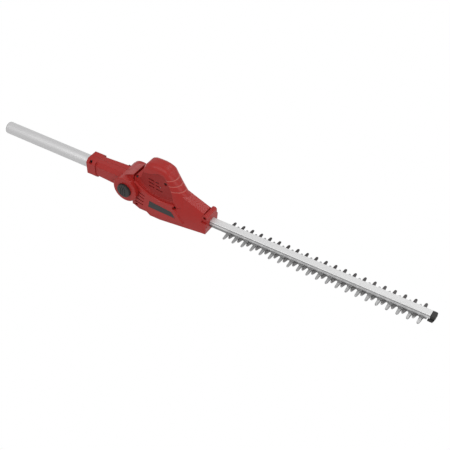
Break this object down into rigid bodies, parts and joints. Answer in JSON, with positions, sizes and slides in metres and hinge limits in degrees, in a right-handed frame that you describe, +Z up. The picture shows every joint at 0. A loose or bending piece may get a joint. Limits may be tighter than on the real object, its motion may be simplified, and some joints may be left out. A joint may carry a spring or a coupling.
{
  "type": "pole hedge trimmer head",
  "caption": "Tilting hedge trimmer head on a stub of round pole, with a motor hump, a neck barrel with a lock button, and a slim rail carrying twin reciprocating toothed blades.",
  "frame": {"origin": "centre of the pole tube's free end", "axes": "+X from the pole's free end to the blade tip, +Z up out of the motor hump, +Y to the left of that; the lock button faces -Y"},
  "size_m": [1.0836, 0.079, 0.1424],
  "materials": {
    "pole_aluminium": "satin",
    "rail_aluminium": "satin",
    "black_plastic": "matte",
    "button_plastic": "matte",
    "label_film": "satin",
    "grey_nylon": "matte",
    "red_shell": "satin",
    "contact_brass": "satin",
    "screw_steel": "satin",
    "spring_steel": "satin",
    "can_steel": "satin",
    "magnet_ferrite": "matte",
    "brush_carbon": "matte",
    "cast_alloy": "matte",
    "bearing_bronze": "satin",
    "plate_steel": "satin",
    "bolt_black": "matte",
    "wiper_felt": "matte",
    "shaft_steel": "satin",
    "core_iron": "matte",
    "winding_copper": "satin",
    "gear_steel": "satin",
    "blade_steel": "satin",
    "blade_dark_steel": "satin"
  },
  "bodies": {
    "pole": {"pole_tube": "pole_aluminium", "pole_connector": "black_plastic", "connector_pins": "contact_brass", "neck_left": "red_shell", "neck_right": "red_shell", "neck_screws": "screw_steel", "tube_pin": "screw_steel", "lock_ring": "grey_nylon", "thrust_washer": "spring_steel", "lock_spring": "spring_steel"},
    "lock_button": {"lock_button": "button_plastic", "lock_hub": "grey_nylon"},
    "head": {"housing_left": "red_shell", "housing_right": "red_shell", "housing_screws": "screw_steel", "shoulder_screws": "screw_steel", "label_plate": "label_film", "motor_can": "can_steel", "motor_screws": "screw_steel", "motor_magnets": "magnet_ferrite", "motor_end_cap": "grey_nylon", "motor_terminals": "contact_brass", "carbon_brushes": "brush_carbon", "gearbox_case": "cast_alloy", "gearbox_cover": "cast_alloy", "gearbox_screws": "screw_steel", "upper_bearing": "bearing_bronze", "lower_bearing": "bearing_bronze", "bottom_plate": "plate_steel", "bottom_plate_screws": "screw_steel", "blade_rail": "rail_aluminium", "rail_bolts": "bolt_black", "bolt_sleeves": "plate_steel", "tip_guard": "black_plastic", "tip_screw": "bolt_black", "felt_wiper": "wiper_felt"},
    "rotor": {"motor_shaft": "shaft_steel", "rotor_core": "core_iron", "rotor_windings": "winding_copper", "commutator": "winding_copper", "cooling_fan": "grey_nylon", "pinion": "gear_steel"},
    "crank": {"drive_gear": "gear_steel", "crankshaft": "shaft_steel", "upper_cam": "gear_steel", "lower_cam": "gear_steel"},
    "upper_blade": {"upper_blade": "blade_steel"},
    "lower_blade": {"lower_blade": "blade_dark_steel"}
  },
  "joints": [
    {"name": "head_tilt", "type": "hinge", "parent": "pole", "child": "head", "pos_m": [0.3647, 0, -0.0027], "axis": [0, 1, 0], "range_deg": [0, 65]},
    {"name": "lock_press", "type": "slide", "parent": "pole", "child": "lock_button", "axis": [0, 1, 0], "range_m": [0, 0.005], "stiffness_N_per_m": 1500, "springref_m": -0.003, "deforming": ["lock_spring"]},
    {"name": "upper_blade_slide", "type": "slide", "parent": "head", "child": "upper_blade", "axis": [1, 0, 0], "range_m": [-0.0055, 0.0055]},
    {"name": "crank_turn", "type": "hinge", "parent": "head", "child": "crank", "pos_m": [0.459, 0, -0.0279], "axis": [0, 0, 1], "range_deg": [-90, 90]},
    {"name": "rotor_spin", "type": "hinge", "parent": "head", "child": "rotor", "pos_m": [0.437, 0, -0.0104], "axis": [0, 0, 1], "range_deg": [-306, 306]},
    {"name": "lower_blade_slide", "type": "slide", "parent": "head", "child": "lower_blade", "axis": [1, 0, 0], "range_m": [-0.0055, 0.0055]}
  ],
  "couplings": [
    {"joint": "crank_turn", "follows": "upper_blade_slide", "rad_per_m": -285.59},
    {"joint": "rotor_spin", "follows": "upper_blade_slide", "rad_per_m": 971.01},
    {"joint": "lower_blade_slide", "follows": "upper_blade_slide", "ratio": -1}
  ]
}
